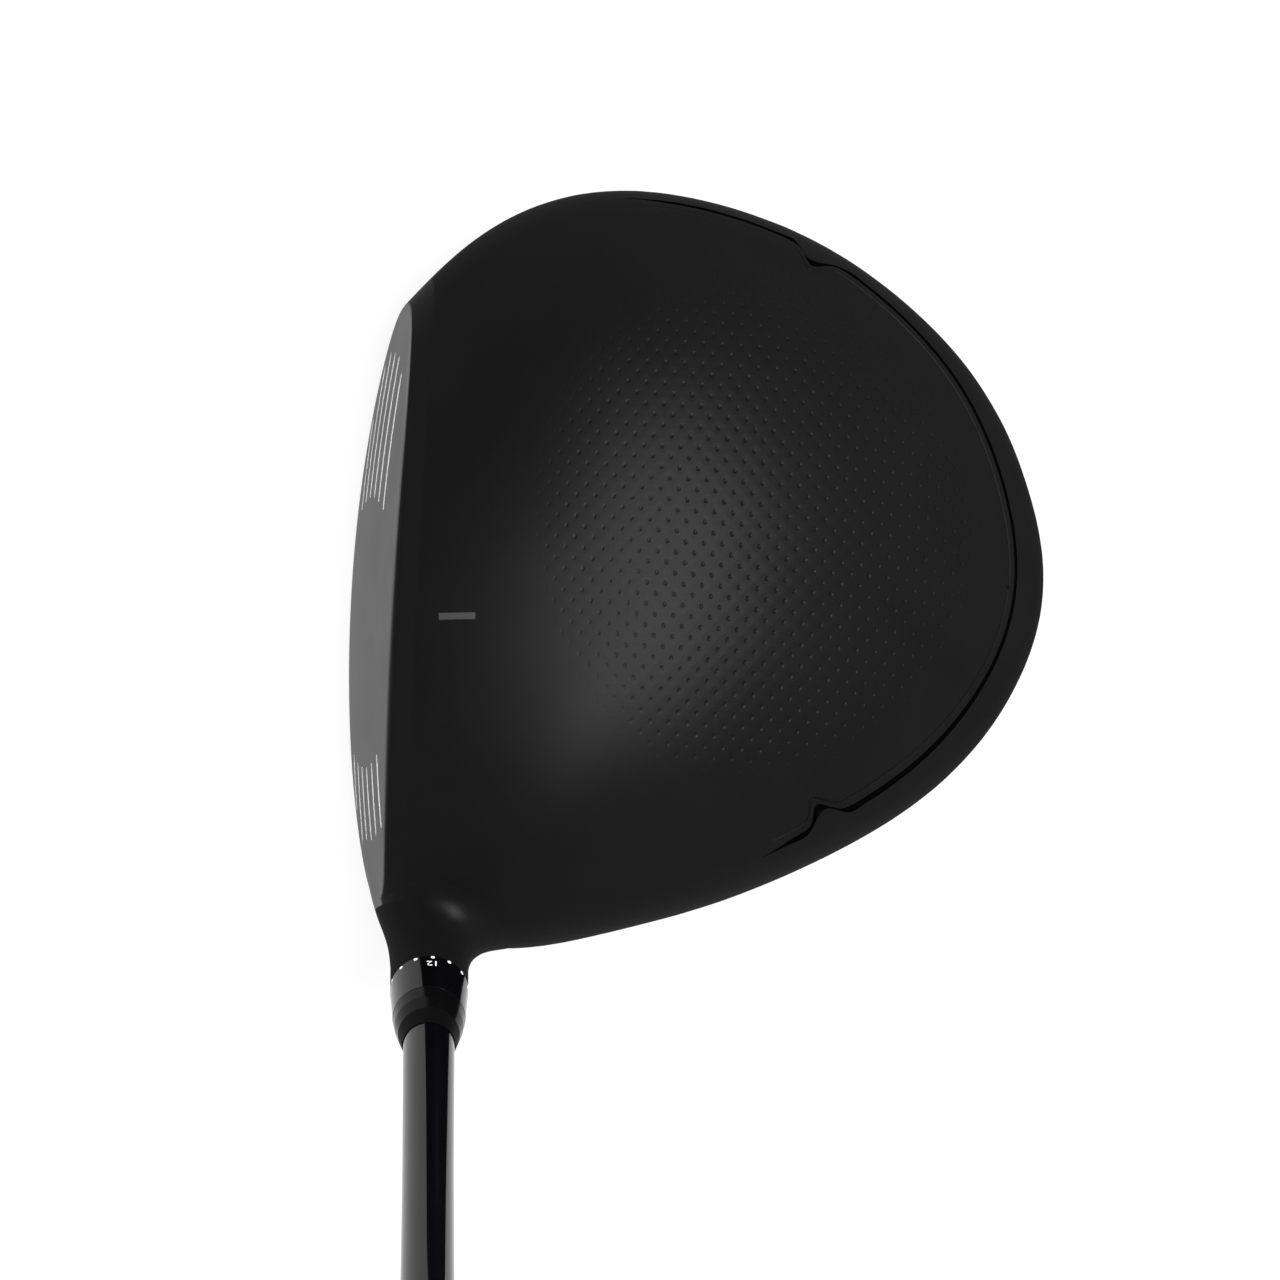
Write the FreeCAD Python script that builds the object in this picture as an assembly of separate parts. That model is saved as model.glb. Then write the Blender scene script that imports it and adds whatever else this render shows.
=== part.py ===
import FreeCAD, Part
import math
import os

# Golf driver, right-handed, at address. Millimetres.
# The origin is the mouth of the screw port in the sole, on the hosel axis.
# +X points behind the face, +Y to the toe, +Z up. The hosel axis lies in the YZ plane and
# leans towards the golfer, at -Y, by the lie angle. Heights along that axis are called
# stations and are counted from the port mouth.

V = FreeCAD.Vector

# ---- Club
LIE = 58.5                  # angle of the shaft above the ground, degrees
CLUB_LENGTH = 1156.0        # ground to the end of the grip along the axis, 45.5 in
GROUND = -9.0               # height of the ground when the sole rests on it

# ---- Head form
HEAD_X = 35.0               # plan centre of the head behind the hosel axis
HEAD_Y = 44.5               # plan centre of the head towards the toe
OUTLINE = [66.0, 65.8, 65.2, 64.3, 64.1, 64.5, 65.6, 65.5, 62.8, 60.5, 63.0, 71.0,
           78.0, 77.5, 73.0, 68.5, 66.5, 61.0, 55.4, 53.1, 53.1, 55.5, 59.5, 63.5]
                            # plan radii at equal angles, from straight back by the toe
SKIRT_HEIGHT = 24.0         # widest line of the head above the ground
SKIRT_FALL = 0.04           # its fall per millimetre towards the back
CROWN_HEIGHT = 60.0         # top of the crown above the ground
CROWN_TOP_X = 26.0          # top of the crown behind the hosel axis
CROWN_RADIUS_X = 95.0       # crown camber, front to back
CROWN_RADIUS_Y = 310.0      # crown camber, heel to toe
SOLE_LOW_X = 22.0           # lowest point of the sole behind the hosel axis
SOLE_RADIUS_FRONT = 250.0   # sole camber ahead of its lowest point
SOLE_RADIUS_BACK = 350.0    # sole camber behind it
SOLE_RADIUS_Y = 210.0       # sole camber, heel to toe
CROWN_POWERS = (3.0, 2.3)   # fullness in plan and in height of the crown's shoulder
SOLE_POWERS = (4.2, 2.4)    # the same for the sole's edge

# ---- Face
LOFT = 8.5
FACE_OPEN = 2.2             # degrees that the face looks towards the toe
FACE_RADIUS = 300.0         # bulge and roll
FACE_X = -10.9              # centre of the face
FACE_Y = 39.9
FACE_HEIGHT = 26.0          # centre of the face above the ground
FACE_WALL = 3.0             # thickness of the face cup
FACE_BOSS = 1.0             # extra thickness behind the centre
FACE_BOSS_R = 10.0
FACE_EDGE = 1.8             # rounded rim of the face
FACE_HEEL_R = 9.0           # the face cup ends this far from the hosel axis

# ---- Walls of the head
SKIRT_WALL = 1.5
CROWN_WALL = 1.8
SOLE_WALL = 1.3
PANEL_WALL = 0.9            # thickness of the crown panel
LEDGE = 8.0                 # width of the ledge that carries the panel
PANEL_GROOVE = 0.35         # open groove behind the panel
PANEL_GROOVE_ARC = (13.5, 76.5, 8.0)    # middle, half width and run-out, degrees
PANEL_BUTT = 0.05           # hairline round the rest of the panel
PANEL_FRONT_X = 4.0         # front edge of the panel behind the hosel axis
PANEL_INSET = [4.3, 2.3, 1.9, 2.7, 4.0, 4.0, 3.2, 4.0]
                            # outline to panel edge at equal angles, from straight back
PANEL_HOSEL = (238.0, 14.0, 16.0)   # extra inset at the hosel: angle, spread, depth
PANEL_NOTCHES = [(62.0, 2.2, 2.3), (308.0, 2.4, 2.8)]   # two small notches, the same

# ---- Rear ring
RING_X = 63.5               # the ring starts this far behind the hosel axis
RING_HEIGHT = 17.0          # its lower edge above the ground

# ---- Neck and hosel bore, stations along the axis
HOSEL_TOP = 44.6
NECK_R = 6.42
NECK_STRAIGHT = 8.0         # length of the neck before it widens
NECK_FOOT_R = 8.0           # radius at the port mouth
NECK_BLEND = 8.0            # width of the blend between neck and head
NECK_REACH = 18.0           # the blend surface dives into the head by this radius
NECK_RIM = 6.0              # softness of the face rim where it meets the neck
COLUMN_R = 7.0              # hosel column inside the head
PORT_R = 4.7
PORT_MOUTH = 2.4            # length of the mouth; the screw's seat lies deeper
PORT_DEPTH = 7.5
PORT_RECESS_R = 6.6
SEAT_R = 4.45
WEB = 2.5                   # web that the screw head pulls against
WEB_HOLE_R = 3.0

# ---- Loft sleeve
SLEEVE_R = 4.95
FIT = 0.05                  # radial clearance of every running fit
SLEEVE_FOOT = 17.0          # station of the sleeve's lower end
COLLAR_LENGTH = 10.0
COLLAR_R = 6.45
COLLAR_TOP_R = 6.0          # the collar tapers to the ferrule
COLLAR_EDGE = 0.12
COLLAR_GAP = 0.05           # axial gap between collar and neck rim
THREAD_LENGTH = 6.0         # tapped depth in the sleeve's foot
SPLINES = 12
SPLINE_R = 5.6
SPLINE_LENGTH = 4.0
SPLINE_WIDTH = 1.3
SPLINE_GAP = 0.06

# ---- Hosel screw, M5
SCREW_R = 2.5
SCREW_PITCH = 0.8           # also the length of the lead-in at the screw's tip
SCREW_ENGAGED = 5.5         # thread engagement
HEAD_R = 4.2
HEAD_LENGTH = 4.0
WASHER_R = 4.35
WASHER_T = 0.9
FACE_GAP = 0.02             # axial gap under the washer and the gasket
RETAINER_R = 3.9
RETAINER_T = 0.6
RETAINER_GAP = 0.4          # below the sleeve's foot
RETAINER_GROOVE = 0.35      # depth of its groove in the shank
RETAINER_MOUTH = 2.6        # width of the open side of the ring
DRIVE_R = 2.25              # six-lobed drive, over the lobes
DRIVE_DEPTH = 2.2

# ---- Rear weight
WEIGHT_X = 80.0             # centre of the weight in the sole
WEIGHT_R = 8.5
WEIGHT_T = 4.2              # thickness of the disc
WEIGHT_SINK = 0.5           # the disc lies this far under the sole
WEIGHT_STUD_R = 5.0
WEIGHT_STUD = 6.0
WEIGHT_GAP = 0.35           # radial gap round the disc
WEIGHT_EDGE = 0.5
GASKET_T = 0.8
GASKET_R = 7.4              # outer radius of the gasket
BOSS_WALL = 2.6
BOSS_FLOOR = 1.8

# ---- Ferrule and shaft
FERRULE_R = 5.95
FERRULE_BULGE = 0.15        # the ferrule is fuller than a cone by this much
FERRULE_NECK_R = 5.1
FERRULE_LENGTH = 5.65
FERRULE_TIP = 3.7
FERRULE_TIP_R = 4.4
SHAFT_TIP_R = 4.25
SHAFT_BUTT_R = 7.62
SHAFT_TIP_LENGTH = 90.0     # parallel tip above the sleeve's foot
SHAFT_BUTT_LENGTH = 290.0   # parallel butt
SHAFT_TIP_WALL = 1.4
SHAFT_BUTT_WALL = 1.0
TIP_PLUG = 6.0
PLUG_GAP = 0.02

# ---- Grip
GRIP_LENGTH = 267.0
GRIP_MOUTH_R = 9.0
GRIP_BEAD_R = 9.7
GRIP_BEAD = 3.0
GRIP_TOP_R = 13.1           # radius just below the cap
GRIP_SWELL = 0.6            # the grip is fuller than a cone by this much
CAP_LENGTH = 13.0
CAP_R = 15.9
CAP_WALL = 4.0
CAP_ROUND = 3.0
VENT_R = 1.2
TAPE_T = 0.25
TAPE_SHORT = 6.0            # the tape ends this far inside the grip's mouth

# ---- Sampling of the free-form skins
AROUND, ALONG = 48, 34      # spline net of the head's skin
INNER_AROUND, INNER_ALONG = 32, 20      # facets inside it
NECK_AROUND, NECK_ALONG = 36, 26
PANEL_ARCS = 12             # arcs round the crown panel's outline

HOSEL = FreeCAD.Placement(V(0, 0, 0), FreeCAD.Rotation(V(1, 0, 0), 90 - LIE))
AXIS = HOSEL.Rotation.multVec(V(0, 0, 1))
ACROSS = HOSEL.Rotation.multVec(V(0, 1, 0))
FACE_NORMAL = V(-1, math.tan(math.radians(FACE_OPEN)), math.tan(math.radians(LOFT)))
FACE_NORMAL.normalize()
FACE_CENTRE = V(FACE_X, FACE_Y, GROUND + FACE_HEIGHT)
BALL_CENTRE = FACE_CENTRE - FACE_NORMAL * FACE_RADIUS
FAR = 400.0                 # larger than the head in every direction


# ---------------------------------------------------------------- form of the head

def harmonics(values):
    """Smooth periodic function through values at equal angles."""
    n = len(values)
    orders = range(n // 2 + 1)
    step = 2 * math.pi / n
    cosines = [2 / n * sum(v * math.cos(k * i * step) for i, v in enumerate(values))
               for k in orders]
    sines = [2 / n * sum(v * math.sin(k * i * step) for i, v in enumerate(values))
             for k in orders]
    cosines[0] /= 2
    cosines[-1] /= 2
    sines[-1] = 0

    def value(angle):
        return sum(cosines[k] * math.cos(k * angle) + sines[k] * math.sin(k * angle)
                   for k in orders)
    return value


outline_radius = harmonics(OUTLINE)
panel_inset = harmonics(PANEL_INSET)
TABLE = [outline_radius(math.radians(i / 4)) for i in range(1441)]


def plan_radius(angle):
    """Outline radius read from a fine table."""
    place = math.degrees(angle) % 360 * 4
    i = min(int(place), 1439)
    return TABLE[i] + (TABLE[i + 1] - TABLE[i]) * (place - i)


def head_form(x, y, z, side=0.0, crown=0.0, sole=0.0):
    """Negative inside the head, thinned by the given walls."""
    dx = x - HEAD_X
    dy = y - HEAD_Y
    reach = math.hypot(dx, dy) / (plan_radius(math.atan2(dy, dx)) - side)
    skirt = GROUND + SKIRT_HEIGHT - SKIRT_FALL * dx
    if z >= skirt:
        top = (GROUND + CROWN_HEIGHT - crown - dy ** 2 / (2 * CROWN_RADIUS_Y)
               - (x - CROWN_TOP_X) ** 2 / (2 * CROWN_RADIUS_X))
        full, rounded = CROWN_POWERS
        return reach ** full + ((z - skirt) / max(top - skirt, 2.0)) ** rounded - 1
    camber = SOLE_RADIUS_BACK if x > SOLE_LOW_X else SOLE_RADIUS_FRONT
    low = (GROUND + sole + dy ** 2 / (2 * SOLE_RADIUS_Y)
           + (x - SOLE_LOW_X) ** 2 / (2 * camber))
    full, rounded = SOLE_POWERS
    return reach ** full + ((skirt - z) / max(skirt - low, 2.0)) ** rounded - 1


def head_distance(point):
    """Signed distance to the head's skin, near it."""
    x, y, z = point
    step = 0.02
    here = head_form(x, y, z)
    slope = V(head_form(x + step, y, z) - here, head_form(x, y + step, z) - here,
              head_form(x, y, z + step) - here).Length / step
    return here / slope


def soft_min(a, b, width):
    """Smaller of two distances with a rounded valley."""
    lap = max(width - abs(a - b), 0) / width
    return min(a, b) - lap * lap * width / 4


def soft_max(a, b, width):
    return -soft_min(-a, -b, width)


def neck_radius(station):
    """Radius of the neck before it is blended into the head."""
    start = HOSEL_TOP - NECK_STRAIGHT
    if station >= start:
        return NECK_R
    return NECK_R + (NECK_FOOT_R - NECK_R) * (start - station) / start


def neck_form(point):
    """Negative inside the neck and the part of the head round its root."""
    station = point.dot(AXIS)
    radius = (point - AXIS * station).Length
    skin = soft_max(head_distance(point), (point - BALL_CENTRE).Length - FACE_RADIUS,
                    NECK_RIM)
    dive = 0.15 + max(radius - NECK_R - NECK_BLEND, 0) * 0.5
    neck = radius - neck_radius(station)
    return soft_max(soft_min(skin + dive, neck, NECK_BLEND), radius - NECK_REACH, 3.0)


def skin_point(form, centre, direction, reach):
    """Where a ray from inside leaves the form."""
    near, far = 0.0, reach
    for _ in range(32):
        middle = (near + far) / 2
        if form(centre + direction * middle) < 0:
            near = middle
        else:
            far = middle
    return centre + direction * near


# ---------------------------------------------------------------- spline skins

def clamped_weights(count):
    """Cubic spline weights of a clamped row of poles at their own places."""
    knots = [0.0] * 3 + [float(i) for i in range(count - 2)] + [float(count - 3)] * 3
    rows = []
    for row in range(count):
        place = sum(knots[row + 1:row + 4]) / 3
        weights = [1.0 if knots[i] <= place < knots[i + 1] else 0.0
                   for i in range(len(knots) - 1)]
        if row == count - 1:
            weights[count - 1] = 1.0
        for degree in (1, 2, 3):
            raised = []
            for i in range(len(weights) - 1):
                rise = knots[i + degree] - knots[i]
                fall = knots[i + degree + 1] - knots[i + 1]
                value = 0.0
                if rise > 0:
                    value += (place - knots[i]) / rise * weights[i]
                if fall > 0:
                    value += (knots[i + degree + 1] - place) / fall * weights[i + 1]
                raised.append(value)
            weights = raised
        rows.append([(i, w) for i, w in enumerate(weights[:count]) if w > 1e-9])
    return rows


def skin_through(rows):
    """Cubic surface through rows of points, closed along each row."""
    along = len(rows)
    around = len(rows[0])
    weights = clamped_weights(along)
    poles = [list(row) for row in rows]
    for _ in range(6):
        smooth = [[(row[i - 1] + row[i] * 4 + row[(i + 1) % around]) * (1 / 6)
                   for i in range(around)] for row in poles]
        for j, row in enumerate(rows):
            for i, target in enumerate(row):
                reached = V()
                for k, w in weights[j]:
                    reached += smooth[k][i] * w
                poles[j][i] = poles[j][i] + target - reached
    surface = Part.BSplineSurface()
    net = [[poles[j][i] for j in range(along)] for i in range(around)]
    surface.buildFromPolesMultsKnots(
        net, [1] * (around + 1), [4] + [1] * (along - 4) + [4],
        [float(i) for i in range(around + 1)], [float(i) for i in range(along - 2)],
        True, False, 3, 3)
    return surface


def fan(surface, row, tip):
    """Cone from one end row of a skin to a point."""
    poles = surface.getPoles()
    net = [[column[row], tip] for column in poles]
    cone = Part.BSplineSurface()
    cone.buildFromPolesMultsKnots(
        net, [1] * (len(net) + 1), [2, 2], [float(i) for i in range(len(net) + 1)],
        [0.0, 1.0], True, False, 3, 1)
    return cone


def sole_point(x):
    """Point of the sole under a place on the head's middle line."""
    centre = V(x, HEAD_Y, GROUND + SKIRT_HEIGHT)
    return skin_point(lambda p: head_form(p.x, p.y, p.z), centre, V(0, 0, -1), FAR)


WEIGHT_POINT = sole_point(WEIGHT_X)
WEIGHT_OUT = sole_point(WEIGHT_X + 1) - sole_point(WEIGHT_X - 1)
WEIGHT_OUT = V(WEIGHT_OUT.z, 0, -WEIGHT_OUT.x)
WEIGHT_OUT.normalize()


def head_rows(side, crown, sole, around, along):
    """Points of the head's skin in rings. The two poles are at the face and in the
    weight port."""
    centre = V(HEAD_X, HEAD_Y, GROUND + SKIRT_HEIGHT)
    back = WEIGHT_POINT - centre
    back.normalize()
    up = V(-back.z, 0, back.x)
    width = OUTLINE[0]
    rows = []
    for j in range(along):
        polar = math.pi * j / (along - 1)
        ring = 0.0 if j in (0, along - 1) else math.sin(polar)
        row = []
        for i in range(around):
            turn = 2 * math.pi * i / around
            ray = (back * (-math.cos(polar) * width)
                   + V(0, 1, 0) * (ring * math.cos(turn) * width)
                   + up * (ring * math.sin(turn) * CROWN_HEIGHT / 2))
            row.append(skin_point(
                lambda p: head_form(p.x, p.y, p.z, side, crown, sole), centre, ray, 3.0))
        rows.append(row)
    return rows


def head_solid():
    """Closed smooth form of the head."""
    rows = head_rows(0, 0, 0, AROUND, ALONG)
    return Part.Solid(Part.Shell([skin_through(rows).toShape()]))


def inner_solid(side, crown, sole):
    """Closed faceted form inside the head's skin, where nobody sees it."""
    rows = head_rows(side, crown, sole, INNER_AROUND, INNER_ALONG)
    facets = []
    for j, (row, following) in enumerate(zip(rows, rows[1:])):
        for i in range(INNER_AROUND):
            k = (i + 1) % INNER_AROUND
            if j > 0:
                facets.append([row[i], row[k], following[i]])
            if j < INNER_ALONG - 2:
                facets.append([row[k], following[k], following[i]])
    faces = [Part.Face(Part.makePolygon(corners + corners[:1])) for corners in facets]
    shell = Part.makeShell(faces)
    shell.sewShape()
    return Part.Solid(Part.Shell(shell.Faces))


def neck_solid():
    """Neck with its blend, closed at both ends beyond the length that is used."""
    middle = HOSEL_TOP / 2
    centre = AXIS * middle
    spare = 1.5
    first = math.atan2(NECK_R, HOSEL_TOP - middle + spare)
    last = math.pi - math.atan2(NECK_FOOT_R, middle + spare)
    rays = 4 * NECK_ALONG
    columns = []
    for i in range(NECK_AROUND):
        turn = 2 * math.pi * i / NECK_AROUND
        side = V(1, 0, 0) * math.cos(turn) + ACROSS * math.sin(turn)
        dense = []
        for k in range(rays + 1):
            polar = first + (last - first) * k / rays
            ray = AXIS * math.cos(polar) + side * math.sin(polar)
            dense.append(skin_point(neck_form, centre, ray, 3 * NECK_REACH))
        lengths = [0.0]
        for a, b in zip(dense, dense[1:]):
            lengths.append(lengths[-1] + (b - a).Length)
        column = []
        k = 0
        for j in range(NECK_ALONG):
            goal = lengths[-1] * j / (NECK_ALONG - 1)
            while k < rays - 1 and lengths[k + 1] < goal:
                k += 1
            part = (goal - lengths[k]) / (lengths[k + 1] - lengths[k])
            column.append(dense[k] + (dense[k + 1] - dense[k]) * min(part, 1.0))
        columns.append(column)
    skin = skin_through([[column[j] for column in columns] for j in range(NECK_ALONG)])
    faces = [skin.toShape(), fan(skin, 0, AXIS * (HOSEL_TOP + spare)).toShape(),
             fan(skin, -1, AXIS * -spare).toShape()]
    shell = Part.makeShell(faces)
    shell.sewShape()
    return Part.Solid(Part.Shell(shell.Faces))


# ---------------------------------------------------------------- solids of revolution

def turned(profile, place=HOSEL):
    """Solid turned from (radius, station) points about the Z axis of a placement."""
    points = [V(radius, 0, station) for radius, station in profile]
    face = Part.Face(Part.makePolygon(points + [points[0]]))
    solid = face.revolve(V(0, 0, 0), V(0, 0, 1), 360)
    solid.Placement = place
    return solid


def drum(radius, low, high, place=HOSEL):
    """Cylinder between two stations."""
    solid = Part.makeCylinder(radius, high - low, V(0, 0, low))
    solid.Placement = place
    return solid


def tube(outer, inner, low, high, place=HOSEL):
    return turned([(inner, low), (outer, low), (outer, high), (inner, high)], place)


def turned_wall(outer, inner, place=HOSEL):
    """Turned piece from two lists of (radius, station) that run the same way."""
    return turned(outer + inner[::-1], place)


def block(low, high):
    """Box between two corners."""
    return Part.makeBox(high[0] - low[0], high[1] - low[1], high[2] - low[2], V(*low))


def six_lobes(low, high, place):
    """Six-lobed driver recess between two stations."""
    lobe = DRIVE_R * 0.2
    recess = drum(DRIVE_R - lobe, low, high, place)
    lobes = []
    for i in range(6):
        turn = math.radians(60 * i)
        post = Part.makeCylinder(lobe, high - low,
                                 V(math.cos(turn), math.sin(turn), 0) * (DRIVE_R - lobe)
                                 + V(0, 0, low))
        post.Placement = place
        lobes.append(post)
    return recess.fuse(lobes)


def splines(tip, width, low, high):
    """Radial teeth about the hosel axis, joined to a core."""
    teeth = []
    for i in range(SPLINES):
        tooth = Part.makeBox(tip, width, high - low, V(0, -width / 2, low))
        tooth.rotate(V(0, 0, 0), V(0, 0, 1), 360 / SPLINES * i)
        tooth.Placement = HOSEL.multiply(tooth.Placement)
        teeth.append(tooth)
    return teeth


# ---------------------------------------------------------------- head

def panel_gap(angle):
    """Gap between the crown panel and its seat."""
    middle, half, fade = PANEL_GROOVE_ARC
    away = abs((math.degrees(angle) - middle + 180) % 360 - 180)
    part = min(max((half - away) / fade + 0.5, 0), 1)
    return PANEL_BUTT + (PANEL_GROOVE - PANEL_BUTT) * part


def panel_radius(angle, inward):
    """Plan radius of the crown panel's seat, moved inward by a width."""
    degrees = math.degrees(angle) % 360
    inset = panel_inset(angle) + inward
    for middle, spread, depth in [PANEL_HOSEL] + PANEL_NOTCHES:
        inset += depth * math.exp(-((degrees - middle) / spread) ** 2)
    radius = plan_radius(angle) - inset
    ahead = -math.cos(angle)
    if ahead > 0.2:
        radius = soft_min(radius, (HEAD_X - PANEL_FRONT_X - inward) / ahead, 12.0)
    return radius


def panel_prism(inward):
    """Upright prism over the panel's seat, moved inward by a width at each angle."""
    points = []
    for i in range(120):
        angle = math.radians(3 * i)
        radius = panel_radius(angle, inward(angle))
        points.append(V(HEAD_X + radius * math.cos(angle), HEAD_Y + radius * math.sin(angle),
                        GROUND + SKIRT_HEIGHT + 1))
    curve = Part.BSplineCurve()
    curve.interpolate(Points=points, PeriodicFlag=True)
    turn = (curve.LastParameter - curve.FirstParameter) / PANEL_ARCS
    arcs = [curve.toShape(curve.FirstParameter + i * turn,
                          curve.FirstParameter + (i + 1) * turn)
            for i in range(PANEL_ARCS)]
    return Part.Face(Part.Wire(arcs)).extrude(V(0, 0, CROWN_HEIGHT))


def inside_ball(solid, wall):
    """The part of a solid behind the face surface, moved back by a wall."""
    return solid.common(Part.makeSphere(FACE_RADIUS - wall, BALL_CENTRE))


def rounded_head():
    """Head cut by the face, with its rim rounded and the neck joined."""
    head = inside_ball(head_solid(), 0)
    rim = [edge for face in head.Faces if isinstance(face.Surface, Part.Sphere)
           for edge in face.Edges if not edge.Degenerated]
    head = head.makeFillet(FACE_EDGE, rim)
    neck = neck_solid().common(drum(FAR, 0, HOSEL_TOP))
    return head.fuse(neck)


WEIGHT = FreeCAD.Placement(WEIGHT_POINT, FreeCAD.Rotation(V(0, 0, 1), -WEIGHT_OUT))
# Stations along the weight's axis run inward from the sole.
DISC_TOP = WEIGHT_SINK + WEIGHT_T
POCKET = DISC_TOP + GASKET_T
STUD_END = POCKET + WEIGHT_STUD
BOSS_R = WEIGHT_R + WEIGHT_GAP + BOSS_WALL
BOSS_END = STUD_END + BOSS_FLOOR

web_top = PORT_DEPTH + WEB
sleeve_bore = SLEEVE_R + FIT


def build_head():
    outer = rounded_head()
    cup_keep = Part.makeSphere(FACE_RADIUS - FACE_WALL, BALL_CENTRE)
    cup_keep = cup_keep.fuse(drum(FACE_HEEL_R, -FAR / 4, FAR / 4))
    face = outer.cut(cup_keep)
    turn = FreeCAD.Placement(FACE_CENTRE, FreeCAD.Rotation(V(0, 0, 1), -FACE_NORMAL))
    boss = turned([(0, FACE_WALL - 1.0), (2 * FACE_BOSS_R, FACE_WALL - 1.0),
                   (2 * FACE_BOSS_R, FACE_WALL), (FACE_BOSS_R, FACE_WALL + FACE_BOSS),
                   (0, FACE_WALL + FACE_BOSS)], turn)
    face = max(face.Solids, key=lambda s: s.Volume).fuse(boss)

    cavity = inside_ball(inner_solid(SKIRT_WALL, CROWN_WALL, SOLE_WALL), FACE_WALL)
    cavity = cavity.cut([drum(COLUMN_R, -FAR / 4, HOSEL_TOP),
                         drum(BOSS_R, -FAR / 4, BOSS_END, WEIGHT)])
    under = inner_solid(PANEL_WALL, PANEL_WALL, PANEL_WALL)
    panel = outer.common(panel_prism(panel_gap)).cut(under)
    pocket = panel_prism(lambda angle: 0).cut(under)
    body = outer.common(cup_keep).cut([cavity, pocket, panel_prism(lambda angle: LEDGE)])

    tools = [drum(PORT_RECESS_R, -FAR / 4, 0), drum(PORT_R, 0, PORT_MOUTH),
             drum(SEAT_R, PORT_MOUTH, PORT_DEPTH),
             drum(WEB_HOLE_R, 0, web_top + 1), drum(sleeve_bore, web_top, FAR / 4)]
    tools += splines(SPLINE_R + SPLINE_GAP, SPLINE_WIDTH + 2 * SPLINE_GAP,
                     HOSEL_TOP - SPLINE_LENGTH - SPLINE_GAP, HOSEL_TOP + 1)
    tools += [drum(WEIGHT_R + WEIGHT_GAP, -FAR / 4, POCKET, WEIGHT),
              drum(WEIGHT_STUD_R + FIT, 0, STUD_END, WEIGHT)]
    body = body.cut(tools)

    zone = block((RING_X, -FAR, GROUND + RING_HEIGHT), (FAR, FAR, FAR))
    zone = zone.cut(drum(BOSS_R + 0.5, -FAR / 4, BOSS_END + 0.5, WEIGHT))
    ring = body.common(zone)
    body = body.cut(zone)
    return {"head_body": body, "face_cup": face, "crown_panel": panel, "rear_ring": ring}


def build_weight():
    disc = turned([(0, WEIGHT_SINK), (WEIGHT_R - WEIGHT_EDGE, WEIGHT_SINK),
                   (WEIGHT_R, WEIGHT_SINK + WEIGHT_EDGE), (WEIGHT_R, DISC_TOP),
                   (WEIGHT_STUD_R, DISC_TOP), (WEIGHT_STUD_R, STUD_END - 1.0),
                   (WEIGHT_STUD_R - 0.5, STUD_END - 0.5), (0, STUD_END - 0.5)], WEIGHT)
    disc = disc.cut(six_lobes(WEIGHT_SINK, WEIGHT_SINK + DRIVE_DEPTH, WEIGHT))
    gasket = tube(GASKET_R, WEIGHT_STUD_R + FIT, DISC_TOP + FACE_GAP, POCKET, WEIGHT)
    return {"rear_weight": disc, "weight_gasket": gasket}


# ---------------------------------------------------------------- sleeve and screw

collar_low = HOSEL_TOP + COLLAR_GAP
collar_top = collar_low + COLLAR_LENGTH
shaft_foot = SLEEVE_FOOT + THREAD_LENGTH
screw_end = SLEEVE_FOOT + SCREW_ENGAGED
head_top = PORT_DEPTH - WASHER_T
head_low = head_top - HEAD_LENGTH
retainer_top = SLEEVE_FOOT - RETAINER_GAP


def build_sleeve():
    bore = SHAFT_TIP_R + FIT
    hole = SCREW_R + FIT
    sleeve = turned_wall(
        [(SLEEVE_R - 0.5, SLEEVE_FOOT), (SLEEVE_R, SLEEVE_FOOT + 0.5),
         (SLEEVE_R, collar_low), (COLLAR_R - COLLAR_EDGE, collar_low),
         (COLLAR_R, collar_low + COLLAR_EDGE), (COLLAR_TOP_R, collar_top - COLLAR_EDGE),
         (COLLAR_TOP_R - COLLAR_EDGE, collar_top)],
        [(hole, SLEEVE_FOOT), (hole, shaft_foot), (bore, shaft_foot),
         (bore, collar_top)])
    teeth = splines(SPLINE_R, SPLINE_WIDTH, HOSEL_TOP - SPLINE_LENGTH, collar_low + 1)
    hollow = drum(bore, SLEEVE_FOOT, collar_top)
    return {"adapter_sleeve": sleeve.fuse([tooth.cut(hollow) for tooth in teeth])}


def build_screw():
    groove = SCREW_R - RETAINER_GROOVE
    low = retainer_top - RETAINER_T
    screw = turned([(0, head_low), (HEAD_R - 0.4, head_low), (HEAD_R, head_low + 0.4),
                    (HEAD_R, head_top), (SCREW_R, head_top), (SCREW_R, low),
                    (groove, low), (groove, retainer_top), (SCREW_R, retainer_top),
                    (SCREW_R, screw_end - SCREW_PITCH), (SCREW_R - SCREW_PITCH / 2, screw_end),
                    (0, screw_end)])
    screw = screw.cut(six_lobes(head_low, head_low + DRIVE_DEPTH, HOSEL))
    washer = tube(WASHER_R, SCREW_R + 2 * FIT, head_top + FACE_GAP, PORT_DEPTH)
    ring = tube(RETAINER_R, groove + FIT, low + FIT / 2, retainer_top - FIT / 2)
    mouth = Part.makeBox(RETAINER_MOUTH, RETAINER_R + 1, RETAINER_T * 2,
                         V(-RETAINER_MOUTH / 2, 0, low - RETAINER_T / 2))
    mouth.Placement = HOSEL
    return {"hosel_screw": screw, "screw_washer": washer,
            "screw_retainer": ring.cut(mouth)}


# ---------------------------------------------------------------- shaft and grip

club_end = CLUB_LENGTH + GROUND / math.sin(math.radians(LIE))
shaft_end = club_end - CAP_WALL
grip_mouth = club_end - GRIP_LENGTH
cap_low = club_end - CAP_LENGTH
tape_r = SHAFT_BUTT_R + TAPE_T


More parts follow.
